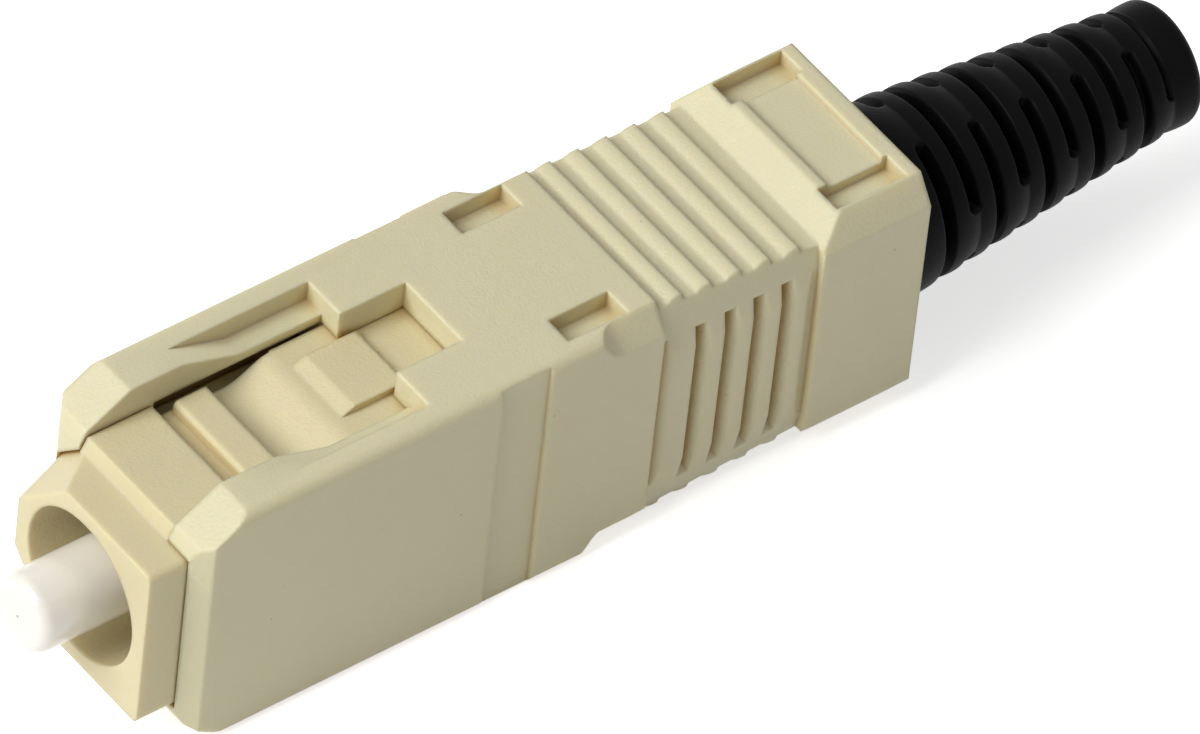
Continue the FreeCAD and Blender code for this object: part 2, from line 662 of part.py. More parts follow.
# ================================================================ stop ring, tube, sleeve, boot
def make_stop_ring():
    front = rod(REAR_CAVITY_R - SEAT_GAP, STOP_FRONT_X, FRAME_LENGTH)
    collar = rod(COLLAR_R, FRAME_LENGTH, FRAME_LENGTH + COLLAR_LENGTH)
    waist = rod(WAIST_R, FRAME_LENGTH, WAIST_END_X)
    barrel = rod(BARREL_R, FRAME_LENGTH, BARREL_END_X)
    snap_front = WINDOW_X[0] + SNAP_FRONT_GAP
    snap_rear = WINDOW_X[1] - SNAP_REAR_GAP
    snap_side = [(snap_front, SNAP_ROOT_R), (snap_rear, SNAP_ROOT_R), (snap_rear, SNAP_R),
                 (snap_rear - SNAP_LAND, SNAP_R), (snap_front, REAR_CAVITY_R - SEAT_GAP)]
    snap = prism_along_y(snap_side, -WINDOW_HALF + SLIDE_GAP, WINDOW_HALF - SLIDE_GAP)
    body = front.fuse([collar, waist, barrel] + both_z(snap))
    cuts = [rod(TAIL_R + TAIL_GAP, STOP_FRONT_X - 1, BARREL_END_X + 1)]
    first_x = SLEEVE_X[0] + BARREL_FIRST_RING
    spacing = (BARREL_END_X - first_x) / BARREL_RINGS
    for i in range(BARREL_RINGS):
        x = first_x + i * spacing
        cuts.append(tube(BARREL_R + 1, BARREL_R - BARREL_RING_DEPTH, x, x + spacing * BARREL_RING_SHARE))
    return body.cut(cuts).removeSplitter()


def make_fibre_tube():
    return tube(TAIL_R + TAIL_GAP - SEAT_GAP, TAIL_HOLE_R, TAIL_END_X + FERRULE_TRAVEL + 0.4, BARREL_END_X)


def make_sleeve():
    x0, x1, x2 = SLEEVE_X
    inner = BARREL_R + SEAT_GAP
    small = CABLE_D / 2 + SEAT_GAP
    outer = small + SLEEVE_WALL - 0.05
    profile = [(x0, inner), (x0, inner + SLEEVE_WALL), (x1, inner + SLEEVE_WALL), (x1 + SLEEVE_NECK, outer),
               (x2, outer), (x2, small), (x1 + SLEEVE_NECK, small), (x1 - SLEEVE_NECK / 2, inner)]
    return turned(profile)


def boot_ring_x(i):
    return BOOT_RING_FIRST_X + i * BOOT_RING_PITCH


def boot_ring_r(x):
    last_x = boot_ring_x(BOOT_RINGS - 1)
    t = (x - BOOT_RING_FIRST_X) / (last_x - BOOT_RING_FIRST_X)
    return BOOT_RING_R_FIRST + t * (BOOT_RING_R_LAST - BOOT_RING_R_FIRST)


def boot_outline():
    """Outer profile: a round collar, ten shallow swellings between the rings, a rounded end."""
    edges = [Part.makeLine(V(BOOT_START_X, 0, 0), V(BOOT_START_X, 0, BOOT_COLLAR_R))]
    last = V(BOOT_COLLAR_END_X, 0, BOOT_COLLAR_R - 0.05)
    edges.append(Part.makeLine(V(BOOT_START_X, 0, BOOT_COLLAR_R), last))
    for i in range(BOOT_RINGS):
        x = boot_ring_x(i)
        point = V(x, 0, boot_ring_r(x))
        middle = V((last.x + x) / 2, 0, (last.z + point.z) / 2 + BOOT_BULGE)
        edges.append(Part.Arc(last, middle, point).toShape())
        last = point
    end_r = BOOT_END_R
    shoulder = V(BOOT_END_X - BOOT_END_ROUND, 0, end_r)
    middle = V((last.x + shoulder.x) / 2, 0, (last.z + shoulder.z) / 2 + BOOT_BULGE / 4)
    edges.append(Part.Arc(last, middle, shoulder).toShape())
    turn = BOOT_END_ROUND * math.cos(math.radians(45))
    bend = V(shoulder.x + turn, 0, end_r - BOOT_END_ROUND + turn)
    face_top = V(BOOT_END_X, 0, end_r - BOOT_END_ROUND)
    edges.append(Part.Arc(shoulder, bend, face_top).toShape())
    edges.append(Part.makeLine(face_top, V(BOOT_END_X, 0, 0)))
    edges.append(Part.makeLine(V(BOOT_END_X, 0, 0), V(BOOT_START_X, 0, 0)))
    return Part.Face(Part.Wire(edges))


def boot_slot(x, floor_r, centre_angle):
    """A curved slot of 130 degrees with rounded ends, cut from outside down to floor_r."""
    width = BOOT_SLOT_WIDTH
    ring = tube(BOOT_COLLAR_R + 1, floor_r, x - width / 2, x + width / 2)
    reach = 2 * BOOT_COLLAR_R
    half = math.radians(BOOT_SLOT_HALF_ANGLE)
    tip_y = reach * math.sin(half)
    tip_z = reach * math.cos(half)
    fan = [(0, 0), (tip_y, tip_z), (reach, reach), (-reach, reach), (-tip_y, tip_z)]
    wedge = prism_along_x(fan, x - 1, x + 1)
    slot = ring.common(wedge)
    ends = []
    for side in (-1, 1):
        axis = V(0, side * math.sin(half), math.cos(half))
        start = axis * floor_r
        ends.append(Part.makeCylinder(width / 2, BOOT_COLLAR_R, V(x, start.y, start.z), axis))
    slot = slot.fuse(ends)
    slot.rotate(V(0, 0, 0), V(1, 0, 0), centre_angle)
    return slot


def make_boot():
    solid = boot_outline().revolve(V(0, 0, 0), V(1, 0, 0), 360)
    sleeve_r = BARREL_R + SLEEVE_WALL + 2 * SEAT_GAP
    thin_r = CABLE_D / 2 + SLEEVE_WALL
    cuts = [rod(sleeve_r, BOOT_START_X - 1, SLEEVE_X[1] + SLEEVE_NECK),
            rod(thin_r, SLEEVE_X[1], SLEEVE_X[2] + 0.1),
            rod(CABLE_D / 2, SLEEVE_X[1], BOOT_END_X + 1)]
    for i in range(BOOT_RINGS):
        x = BOOT_SLOT_FIRST_X + i * BOOT_SLOT_PITCH
        bore = thin_r if x < SLEEVE_X[2] + 0.4 else CABLE_D / 2
        floor_r = max(bore + BOOT_SLOT_WALL, boot_ring_r(x) - BOOT_SLOT_DEPTH)
        first = 0 if i % 2 else 90
        for angle in (first, first + 180):
            cuts.append(boot_slot(x, floor_r, angle))
    return solid.cut(cuts)


save("outer_housing", make_grip())
save("plug_frame", make_frame())
save("ferrule", make_ferrule())
save("ferrule_flange", make_flange())
save("ferrule_spring", make_spring())
save("stop_ring", make_stop_ring())
save("fibre_tube", make_fibre_tube())
save("crimp_sleeve", make_sleeve())
save("strain_relief_boot", make_boot())
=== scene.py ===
import math

import bmesh
import bpy
from mathutils import Matrix, Vector


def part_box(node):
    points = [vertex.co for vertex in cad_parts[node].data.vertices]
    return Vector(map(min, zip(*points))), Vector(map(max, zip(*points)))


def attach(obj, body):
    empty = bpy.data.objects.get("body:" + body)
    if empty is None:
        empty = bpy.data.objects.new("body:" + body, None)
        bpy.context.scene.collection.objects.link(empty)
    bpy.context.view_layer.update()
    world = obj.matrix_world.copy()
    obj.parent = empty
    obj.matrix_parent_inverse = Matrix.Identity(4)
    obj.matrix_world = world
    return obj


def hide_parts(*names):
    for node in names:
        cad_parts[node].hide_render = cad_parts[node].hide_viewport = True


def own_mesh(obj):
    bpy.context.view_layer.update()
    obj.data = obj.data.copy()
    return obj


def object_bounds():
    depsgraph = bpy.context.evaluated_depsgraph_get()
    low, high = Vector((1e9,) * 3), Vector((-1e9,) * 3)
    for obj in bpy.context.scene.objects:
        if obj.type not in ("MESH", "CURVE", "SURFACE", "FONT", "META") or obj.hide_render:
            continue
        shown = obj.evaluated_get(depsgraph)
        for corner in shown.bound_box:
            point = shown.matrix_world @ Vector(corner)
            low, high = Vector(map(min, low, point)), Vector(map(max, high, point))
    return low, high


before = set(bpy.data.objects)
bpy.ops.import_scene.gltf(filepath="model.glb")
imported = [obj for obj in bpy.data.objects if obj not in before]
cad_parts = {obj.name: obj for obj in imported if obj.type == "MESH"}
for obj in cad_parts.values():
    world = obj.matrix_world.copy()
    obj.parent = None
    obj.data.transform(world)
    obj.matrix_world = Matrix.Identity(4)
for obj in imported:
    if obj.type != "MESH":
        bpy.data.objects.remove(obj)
cad_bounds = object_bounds()

# ---------------------------------------------------------------- plug frame
# The square body that snaps into an adapter. Injection-moulded PBT polyester, ivory right
# through, with the fine matt grain that a spark-eroded mould leaves on it.
MM = 0.001


def linear(hex_colour):
    """An sRGB hex colour as linear red, green, blue and full alpha."""
    parts = []
    for i in (0, 2, 4):
        value = int(hex_colour[i:i + 2], 16) / 255
        parts.append(value / 12.92 if value <= 0.04045 else ((value + 0.055) / 1.055) ** 2.4)
    return (*parts, 1.0)


def add_node(tree, kind, settings=None, values=None, links=None):
    """A shader node with its settings, its fixed inputs and the outputs that feed it."""
    node = tree.nodes.new(kind)
    for name, value in (settings or {}).items():
        setattr(node, name, value)
    for socket, value in (values or {}).items():
        node.inputs[socket].default_value = value
    for socket, source in (links or {}).items():
        tree.links.new(source, node.inputs[socket])
    return node


def empty_material(name):
    material = bpy.data.materials.new(name)
    material.use_nodes = True
    material.node_tree.nodes.clear()
    return material, material.node_tree


def moulded_pbt(name, light, dark):
    """PBT polyester as moulded: satin with a fine grain, edges just broken, light carried in a little way,
    and corners painted darker and warmer as shade.
    """
    material, tree = empty_material(name)
    place = add_node(tree, "ShaderNodeTexCoord").outputs["Object"]
    cloud_size = 5.0
    grain_size = 0.10      # the real grain is about 0.03 wide: drawn coarser, so that it shows
    speck_size = 1.1       # spacing of the dust specks
    edge_radius = 0.20
    glow_depth = 0.6
    painted_shade_reach = 0.7     # corners narrower than this get painted shade, darker and warmer, as walls this near shade and light each other
    clouds = add_node(tree, "ShaderNodeTexNoise", values={"Scale": 1 / (cloud_size * MM), "Detail": 2.0},
                      links={"Vector": place})
    colour = add_node(tree, "ShaderNodeMix", {"data_type": "RGBA"}, {6: linear(light), 7: linear(dark)},
                      {0: clouds.outputs["Fac"]})
    dust = add_node(tree, "ShaderNodeTexVoronoi", values={"Scale": 1 / (speck_size * MM)},
                    links={"Vector": place})
    speck = add_node(tree, "ShaderNodeMapRange",
                     values={"From Min": 0.025, "From Max": 0.04, "To Min": 0.45, "To Max": 0.0},
                     links={"Value": dust.outputs["Distance"]})
    colour = add_node(tree, "ShaderNodeMix", {"data_type": "RGBA"}, {7: linear("8A7A55")},
                      {0: speck.outputs["Result"], 6: colour.outputs[2]})
    # Painted shade: where the occlusion test finds walls near, the colour is mixed towards a darker, warmer
    # tan.
    open_sky = add_node(tree, "ShaderNodeAmbientOcclusion", {"samples": 8}, {"Distance": painted_shade_reach * MM})
    painted_corner_shade = add_node(tree, "ShaderNodeMapRange",
                      values={"From Min": 0.25, "From Max": 0.75, "To Min": 0.85, "To Max": 0.0},
                      links={"Value": open_sky.outputs["AO"]})
    colour = add_node(tree, "ShaderNodeMix", {"data_type": "RGBA"}, {7: linear("BE9F5C")},
                      {0: painted_corner_shade.outputs["Result"], 6: colour.outputs[2]})
    grain = add_node(tree, "ShaderNodeTexNoise", values={"Scale": 1 / (grain_size * MM), "Detail": 1.5},
                     links={"Vector": place})
    gloss = add_node(tree, "ShaderNodeMapRange", values={"To Min": 0.42, "To Max": 0.58},
                     links={"Value": grain.outputs["Fac"]})
    edge = add_node(tree, "ShaderNodeBevel", {"samples": 8}, {"Radius": edge_radius * MM})
    bump = add_node(tree, "ShaderNodeBump", values={"Strength": 0.8, "Distance": 0.02 * MM},
                    links={"Height": grain.outputs["Fac"], "Normal": edge.outputs["Normal"]})
    shader = add_node(tree, "ShaderNodeBsdfPrincipled",
                      values={"IOR": 1.55, "Subsurface Weight": 0.5, "Subsurface Radius": (1.0, 0.7, 0.25),
                              "Subsurface Scale": glow_depth * MM},
                      links={"Base Color": colour.outputs[2], "Roughness": gloss.outputs["Result"],
                             "Normal": bump.outputs["Normal"]})
    add_node(tree, "ShaderNodeOutputMaterial", links={"Surface": shader.outputs["BSDF"]})
    return material


def dress(node, material):
    """Gives a carried-over solid its finish."""
    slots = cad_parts[node].data.materials
    slots.clear()
    slots.append(material)


dress("plug_frame", moulded_pbt("PBT moulded, frame", "DACFA9", "D4C9A0"))

# ---------------------------------------------------------------- ferrule
# A ceramic pin that holds the fibre dead on the axis: pressed and sintered zirconia, ground
# to a mirror-like cylinder, then polished at its tip. It glows slightly, as milk glass does.


def ground_zirconia(name, light, dark):
    """Zirconia ceramic, ground: white, dense and glossy, with light carried a little way inside."""
    material, tree = empty_material(name)
    place = add_node(tree, "ShaderNodeTexCoord").outputs["Object"]
    cloud_size = 1.2
    scratch_size = 0.03    # real grinding marks are a few thousandths wide: drawn coarser, so that they show
    clouds = add_node(tree, "ShaderNodeTexNoise", values={"Scale": 1 / (cloud_size * MM)},
                      links={"Vector": place})
    colour = add_node(tree, "ShaderNodeMix", {"data_type": "RGBA"}, {6: linear(light), 7: linear(dark)},
                      {0: clouds.outputs["Fac"]})
    marks = add_node(tree, "ShaderNodeTexNoise", values={"Scale": 1 / (scratch_size * MM)},
                     links={"Vector": place})
    gloss = add_node(tree, "ShaderNodeMapRange", values={"To Min": 0.12, "To Max": 0.24},
                     links={"Value": marks.outputs["Fac"]})
    bump = add_node(tree, "ShaderNodeBump", values={"Strength": 0.06, "Distance": 0.002 * MM},
                    links={"Height": marks.outputs["Fac"]})
    shader = add_node(tree, "ShaderNodeBsdfPrincipled",
                      values={"IOR": 2.1, "Subsurface Weight": 0.35, "Subsurface Radius": (1.0, 0.95, 0.85),
                              "Subsurface Scale": 0.5 * MM},
                      links={"Base Color": colour.outputs[2], "Roughness": gloss.outputs["Result"],
                             "Normal": bump.outputs["Normal"]})
    add_node(tree, "ShaderNodeOutputMaterial", links={"Surface": shader.outputs["BSDF"]})
    return material


dress("ferrule", ground_zirconia("zirconia ceramic, ground", "F4EFE6", "ECE6DA"))

# ---------------------------------------------------------------- flange, stop ring and crimp sleeve
# Turned metal pieces: the flange pressed on the ferrule's rear and the stop ring are brass with
# bright nickel on it, and the sleeve that is crimped over the cable's yarn is soft copper, nickelled.


def turned_metal(name, light, dark, ring_pitch):
    """Nickel-plated turned metal: fine tool rings round the X axis, bright between them."""
    material, tree = empty_material(name)
    place = add_node(tree, "ShaderNodeTexCoord").outputs["Object"]
    wave_length = 0.314    # of the wave texture at a scale of 1
    stain_size = 1.5
    rings = add_node(tree, "ShaderNodeTexWave", {"bands_direction": "X"},
                     {"Scale": wave_length / (ring_pitch * MM), "Distortion": 0.4, "Detail": 2.0},
                     {"Vector": place})
    stain = add_node(tree, "ShaderNodeTexNoise", values={"Scale": 1 / (stain_size * MM)},
                     links={"Vector": place})
    colour = add_node(tree, "ShaderNodeMix", {"data_type": "RGBA"}, {6: linear(light), 7: linear(dark)},
                      {0: stain.outputs["Fac"]})
    gloss = add_node(tree, "ShaderNodeMapRange", values={"To Min": 0.18, "To Max": 0.34},
                     links={"Value": rings.outputs["Fac"]})
    bump = add_node(tree, "ShaderNodeBump", values={"Strength": 0.15, "Distance": 0.004 * MM},
                    links={"Height": rings.outputs["Fac"]})
    shader = add_node(tree, "ShaderNodeBsdfPrincipled", values={"Metallic": 1.0},
                      links={"Base Color": colour.outputs[2], "Roughness": gloss.outputs["Result"],
                             "Normal": bump.outputs["Normal"]})
    add_node(tree, "ShaderNodeOutputMaterial", links={"Surface": shader.outputs["BSDF"]})
    return material


nickelled_brass = turned_metal("brass turned, nickel plated", "D6D2C8", "C2BDB0", ring_pitch=0.06)
dress("ferrule_flange", nickelled_brass)
dress("stop_ring", nickelled_brass)
dress("crimp_sleeve", turned_metal("copper drawn, nickel plated", "CDC9C2", "B4AEA4", ring_pitch=0.10))

# ---------------------------------------------------------------- spring
# The coil that pushes the ferrule forward: hard-drawn stainless wire, wound cold, with its
# last turn at each end laid nearly flat against the flange and the stop ring.
SPRING_WIRE_R = 0.20 * MM
SPRING_COIL_R = 1.78 * MM
SPRING_TURNS = 5.5
SPRING_SIDES = 12
SPRING_STEPS_A_TURN = 40
SPRING_END_EASE = 0.45         # how much closer the coil is wound at its ends


def wound_spring(name, x_front, x_rear):
    """A round wire swept along the coil, closed by a flat disc at each end."""
    steps = round(SPRING_TURNS * SPRING_STEPS_A_TURN)
    points, faces = [], []
    for i in range(steps + 1):
        t = i / steps
        eased = t - math.sin(2 * math.pi * t) / (2 * math.pi) * SPRING_END_EASE
        x = x_front + SPRING_WIRE_R + eased * (x_rear - x_front - 2 * SPRING_WIRE_R)
        turn = 2 * math.pi * SPRING_TURNS * t
        for k in range(SPRING_SIDES):
            a = 2 * math.pi * k / SPRING_SIDES
            r = SPRING_COIL_R + SPRING_WIRE_R * math.cos(a)
            points.append((x + SPRING_WIRE_R * math.sin(a), r * math.cos(turn), r * math.sin(turn)))
    for i in range(steps):
        for k in range(SPRING_SIDES):
            n = (k + 1) % SPRING_SIDES
            a, b = i * SPRING_SIDES, (i + 1) * SPRING_SIDES
            faces.append((a + k, b + k, b + n, a + n))
    faces.append(tuple(range(SPRING_SIDES)))
    faces.append(tuple(reversed(range(steps * SPRING_SIDES, (steps + 1) * SPRING_SIDES))))
    mesh = bpy.data.meshes.new(name)
    mesh.from_pydata(points, [], faces)
    mesh.polygons.foreach_set("use_smooth", [len(p.vertices) == 4 for p in mesh.polygons])
    mesh.update()
    piece = bpy.data.objects.new(name, mesh)
    bpy.context.scene.collection.objects.link(piece)
    return piece


def drawn_steel(name, light, dark):
    """Stainless wire, hard drawn: smooth and bright, with faint draw lines."""
    material, tree = empty_material(name)
    place = add_node(tree, "ShaderNodeTexCoord").outputs["Object"]
    streak_size = 0.25
    streaks = add_node(tree, "ShaderNodeTexNoise", values={"Scale": 1 / (streak_size * MM), "Detail": 4.0},
                       links={"Vector": place})
    colour = add_node(tree, "ShaderNodeMix", {"data_type": "RGBA"}, {6: linear(light), 7: linear(dark)},
                      {0: streaks.outputs["Fac"]})
    gloss = add_node(tree, "ShaderNodeMapRange", values={"To Min": 0.2, "To Max": 0.38},
                     links={"Value": streaks.outputs["Fac"]})
    shader = add_node(tree, "ShaderNodeBsdfPrincipled", values={"Metallic": 1.0},
                      links={"Base Color": colour.outputs[2], "Roughness": gloss.outputs["Result"]})
    add_node(tree, "ShaderNodeOutputMaterial", links={"Surface": shader.outputs["BSDF"]})
    return material


spring_low, spring_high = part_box("ferrule_spring")
spring = wound_spring("spring_coil", spring_low[0], spring_high[0])
spring.data.materials.append(drawn_steel("stainless steel wire, drawn", "C4C3BF", "A8A6A1"))
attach(spring, "frame_assembly")
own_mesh(spring)
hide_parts("ferrule_spring")

# ---------------------------------------------------------------- fibre tube
# A thin liner inside the stop ring, which keeps the fibre from rubbing on metal: extruded
# PTFE, milky and waxy.


def extruded_ptfe(name, light, dark):
    """PTFE, extruded: waxy white with a soft sheen and faint lengthwise streaks."""
    material, tree = empty_material(name)
    place = add_node(tree, "ShaderNodeTexCoord").outputs["Object"]
    streak_size = 0.4
    streaks = add_node(tree, "ShaderNodeTexNoise", values={"Scale": 1 / (streak_size * MM)},
                       links={"Vector": place})
    colour = add_node(tree, "ShaderNodeMix", {"data_type": "RGBA"}, {6: linear(light), 7: linear(dark)},
                      {0: streaks.outputs["Fac"]})
    gloss = add_node(tree, "ShaderNodeMapRange", values={"To Min": 0.35, "To Max": 0.5},
                     links={"Value": streaks.outputs["Fac"]})
    shader = add_node(tree, "ShaderNodeBsdfPrincipled",
                      values={"IOR": 1.35, "Subsurface Weight": 0.3, "Subsurface Scale": 0.3 * MM},
                      links={"Base Color": colour.outputs[2], "Roughness": gloss.outputs["Result"]})
    add_node(tree, "ShaderNodeOutputMaterial", links={"Surface": shader.outputs["BSDF"]})
    return material


dress("fibre_tube", extruded_ptfe("PTFE tube, extruded", "EDEBE6", "E2DFD8"))

# ---------------------------------------------------------------- strain relief boot
# The bendable sleeve that keeps the cable from kinking: TPE rubber moulded in one shot, ten
# shallow swellings, each with a pair of curved slots, turned a quarter from one to the next.
boot_low, boot_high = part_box("strain_relief_boot")
BOOT_FRONT_X = boot_low[0] / MM
BOOT_END_X = boot_high[0] / MM
BOOT_COLLAR_R = 3.02
BOOT_COLLAR_END = (28.10, 2.97)
BOOT_FRONT_ROUND = 0.08
BOOT_END_R = 2.0
BOOT_END_ROUND = 0.35
BOOT_BORES = ((27.10, 1.97), (31.70, 1.85), (BOOT_END_X, 1.50))
BOOT_RINGS = 10
BOOT_FIRST_RING = (29.5, 2.84)
BOOT_LAST_RING_R = 1.945
BOOT_RING_PITCH = 0.976
BOOT_BULGE = 0.075
BOOT_FIRST_SLOT_X = 29.30
BOOT_SLOT_PITCH = 0.99
BOOT_SLOT_HALF_WIDTH = 0.21
BOOT_SLOT_HALF_ANGLE = math.radians(67)
BOOT_SLOT_DEPTH = 0.75
BOOT_SLOT_WALL = 0.16          # left between a slot's floor and the bore
BOOT_SLOT_LEAST_R = 1.97       # the bore and the slimmest stretch near the end aren't sunk
BOOT_SLOT_LIP = 0.035
BOOT_COLUMNS = 264


def arc_between(a, b, bulge, steps):
    """Points after a up to b on a shallow swelling, as (x, radius)."""
    found = []
    for i in range(1, steps + 1):
        t = i / steps
        found.append((a[0] + t * (b[0] - a[0]), a[1] + t * (b[1] - a[1]) + bulge * 4 * t * (1 - t)))
    return found


def boot_outer_profile():
    """The outside from the collar's front edge to the rounded end, as (x, radius)."""
    profile = []
    for a in (0, math.pi / 6, math.pi / 3, math.pi / 2):
        profile.append((BOOT_FRONT_X + BOOT_FRONT_ROUND * (1 - math.cos(a)),
                        BOOT_COLLAR_R - BOOT_FRONT_ROUND * (1 - math.sin(a))))
    profile += arc_between(profile[-1], BOOT_COLLAR_END, bulge=0, steps=12)
    for i in range(BOOT_RINGS):
        x = BOOT_FIRST_RING[0] + BOOT_RING_PITCH * i
        r = BOOT_FIRST_RING[1] + (BOOT_LAST_RING_R - BOOT_FIRST_RING[1]) * i / (BOOT_RINGS - 1)
        profile += arc_between(profile[-1], (x, r), BOOT_BULGE, steps=26)
    round_x = BOOT_END_X - BOOT_END_ROUND
    profile += arc_between(profile[-1], (round_x, BOOT_END_R), BOOT_BULGE / 4, steps=10)
    for k in range(1, 9):
        a = math.pi / 2 * k / 8
        profile.append((round_x + BOOT_END_ROUND * math.sin(a),
                        BOOT_END_R - BOOT_END_ROUND * (1 - math.cos(a))))
    return profile


def boot_inner_profile():
    """The stepped bore from the rear end back to the collar, as (x, radius)."""
    profile = []
    near_x = BOOT_FRONT_X
    for far_x, radius in BOOT_BORES:
        profile += [(near_x, radius), (far_x, radius)]
        near_x = far_x
    return profile[::-1]


def boot_bore(x):
    """Radius of the bore at a place."""
    for end_x, radius in BOOT_BORES:
        if x <= end_x:
            return radius
    return BOOT_BORES[-1][1]


def slot_depth(x, r, angle):
    """How far the surface is sunk at a place by the nearest curved slot, walls steep, lips soft."""
    sunk = 0.0
    if r <= BOOT_SLOT_LEAST_R:
        return sunk
    for i in range(BOOT_RINGS):
        slot_x = BOOT_FIRST_SLOT_X + BOOT_SLOT_PITCH * i
        if abs(x - slot_x) > BOOT_SLOT_HALF_WIDTH + BOOT_SLOT_LIP:
            continue
        first = 0.0 if i % 2 else math.pi / 2
        off = abs((angle - first + math.pi / 2) % math.pi - math.pi / 2)
        along = max(off - BOOT_SLOT_HALF_ANGLE, 0.0) * r
        gap = math.hypot(along, x - slot_x) - BOOT_SLOT_HALF_WIDTH
        t = min(max((BOOT_SLOT_LIP - gap) / (2 * BOOT_SLOT_LIP), 0.0), 1.0)
        floor = max(boot_bore(x) + BOOT_SLOT_WALL, r - BOOT_SLOT_DEPTH)
        sunk = max(sunk, (r - floor) * t * t * (3 - 2 * t))
    return sunk


def moulded_boot(name):
    """The whole boot as one closed skin: outside with its slots, rear face, stepped bore, front face."""
    outer = boot_outer_profile()
    inner = boot_inner_profile()
    points, faces = [], []
    for x, r in outer + inner:
        for k in range(BOOT_COLUMNS):
            angle = 2 * math.pi * k / BOOT_COLUMNS
            rr = r - slot_depth(x, r, angle)
            points.append((x * MM, -rr * MM * math.sin(angle), rr * MM * math.cos(angle)))
    rows = len(outer) + len(inner)
    for i in range(rows):
        a, b = i * BOOT_COLUMNS, (i + 1) % rows * BOOT_COLUMNS
        for k in range(BOOT_COLUMNS):
            n = (k + 1) % BOOT_COLUMNS
            faces.append((a + k, a + n, b + n, b + k))
    mesh = bpy.data.meshes.new(name)
    mesh.from_pydata(points, [], faces)
    mesh.update()
    piece = bpy.data.objects.new(name, mesh)
    bpy.context.scene.collection.objects.link(piece)
    mesh.shade_smooth()
    return piece


def moulded_tpe(name, light, dark):
    """TPE rubber, moulded: near black, soft satin, with a fine grain and faint cloudy patches."""
    material, tree = empty_material(name)
    place = add_node(tree, "ShaderNodeTexCoord").outputs["Object"]
    cloud_size = 1.8
    grain_size = 0.07      # the real grain is about 0.02 wide: drawn coarser, so that it shows
    clouds = add_node(tree, "ShaderNodeTexNoise", values={"Scale": 1 / (cloud_size * MM), "Detail": 3.0},
                      links={"Vector": place})
    colour = add_node(tree, "ShaderNodeMix", {"data_type": "RGBA"}, {6: linear(light), 7: linear(dark)},
                      {0: clouds.outputs["Fac"]})
    grain = add_node(tree, "ShaderNodeTexNoise", values={"Scale": 1 / (grain_size * MM), "Detail": 2.0},
                     links={"Vector": place})
    gloss = add_node(tree, "ShaderNodeMapRange", values={"To Min": 0.36, "To Max": 0.52},
                     links={"Value": grain.outputs["Fac"]})
    bump = add_node(tree, "ShaderNodeBump", values={"Strength": 0.3, "Distance": 0.01 * MM},
                    links={"Height": grain.outputs["Fac"]})
    shader = add_node(tree, "ShaderNodeBsdfPrincipled", values={"IOR": 1.5, "Specular IOR Level": 0.05},
                      links={"Base Color": colour.outputs[2], "Roughness": gloss.outputs["Result"],
                             "Normal": bump.outputs["Normal"]})
    add_node(tree, "ShaderNodeOutputMaterial", links={"Surface": shader.outputs["BSDF"]})
    return material


boot = moulded_boot("boot_moulding")
boot.data.materials.append(moulded_tpe("TPE rubber, moulded black", "0B0B0C", "060607"))
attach(boot, "frame_assembly")
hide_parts("strain_relief_boot")

# ---------------------------------------------------------------- grip
# The outer housing that a hand pushes and pulls: one PBT moulding, same ivory as the frame,
# open where the adapter's latches reach in. The scene's own skin is that moulding with the
# grooves between its side ribs cut deeper, steep in front and rising behind.
GRIP_SIDE_Y = 3.58             # crest of the side ribs
GRIP_KEY_HALF = 1.04
GRIP_SMOOTH_ANGLE = math.radians(20)
GROOVE_X = (19.18, 20.24, 21.28, 22.30)
GROOVE_DEPTH = 0.70
GROOVE_LENGTH = 0.70
GROOVE_FLOOR_SHARE = 0.34      # where the flat floor ends and the rise begins
GROOVE_TOE = 0.06
GROOVE_LOWER_END = 0.15        # lower end of a groove at height 0.15 - y, y the distance from the axis
GROOVE_UPPER_END = 0.45        # upper end at height y - 0.45
GROOVE_OVERLAP = 0.01
CORE_REACH = 0.3               # how far a core stands out of the ribs
WELD_DISTANCE = 0.0001 * MM


def groove_profile(x):
    """Outline of one groove along the grip: steep front wall, short floor, rounded rise to the next rib."""
    front_x = x - GROOVE_OVERLAP
    rise_x = x + GROOVE_FLOOR_SHARE * GROOVE_LENGTH
    end_x = x + GROOVE_LENGTH
    floor = GRIP_SIDE_Y - GROOVE_DEPTH
    outside = GRIP_SIDE_Y + CORE_REACH
    line = [(front_x, outside), (front_x, floor + GROOVE_TOE), (front_x + GROOVE_TOE, floor), (rise_x, floor)]
    for k in range(1, 8):
        a = math.pi / 2 * k / 8
        line.append((rise_x + (end_x - rise_x) * (1 - math.cos(a)), floor + GROOVE_DEPTH * math.sin(a)))
    line.append((end_x, GRIP_SIDE_Y + GROOVE_OVERLAP))
    line.append((end_x, outside))
    return line


def groove_core(points, faces, profile, side, lower, upper):
    """A closed core for one groove. Its two ends run out on a slope, or stop square beside the key."""
    first = len(points)
    count = len(profile)
    for end in (lower, upper):
        for x, y in profile:
            points.append((x * MM, side * y * MM, end(y) * MM))
    for k in range(count):
        n = (k + 1) % count
        faces.append((first + k, first + n, first + count + n, first + count + k))
    faces.append(tuple(range(first, first + count)))
    faces.append(tuple(reversed(range(first + count, first + 2 * count))))


def groove_cores(name):
    """All the cores as one mesh, four on the plain side and four pairs beside the key."""
    def lower(y):
        return GROOVE_LOWER_END - y

    def upper(y):
        return y - GROOVE_UPPER_END

    points, faces = [], []
    for x in GROOVE_X:
        profile = groove_profile(x)
        groove_core(points, faces, profile, -1, lower, upper)
        groove_core(points, faces, profile, 1, lower, lambda y: -GRIP_KEY_HALF)
        groove_core(points, faces, profile, 1, lambda y: GRIP_KEY_HALF, upper)
    mesh = bpy.data.meshes.new(name)
    mesh.from_pydata(points, [], faces)
    outward = bmesh.new()
    outward.from_mesh(mesh)
    bmesh.ops.recalc_face_normals(outward, faces=outward.faces)
    outward.to_mesh(mesh)
    outward.free()
    return bpy.data.objects.new(name, mesh)


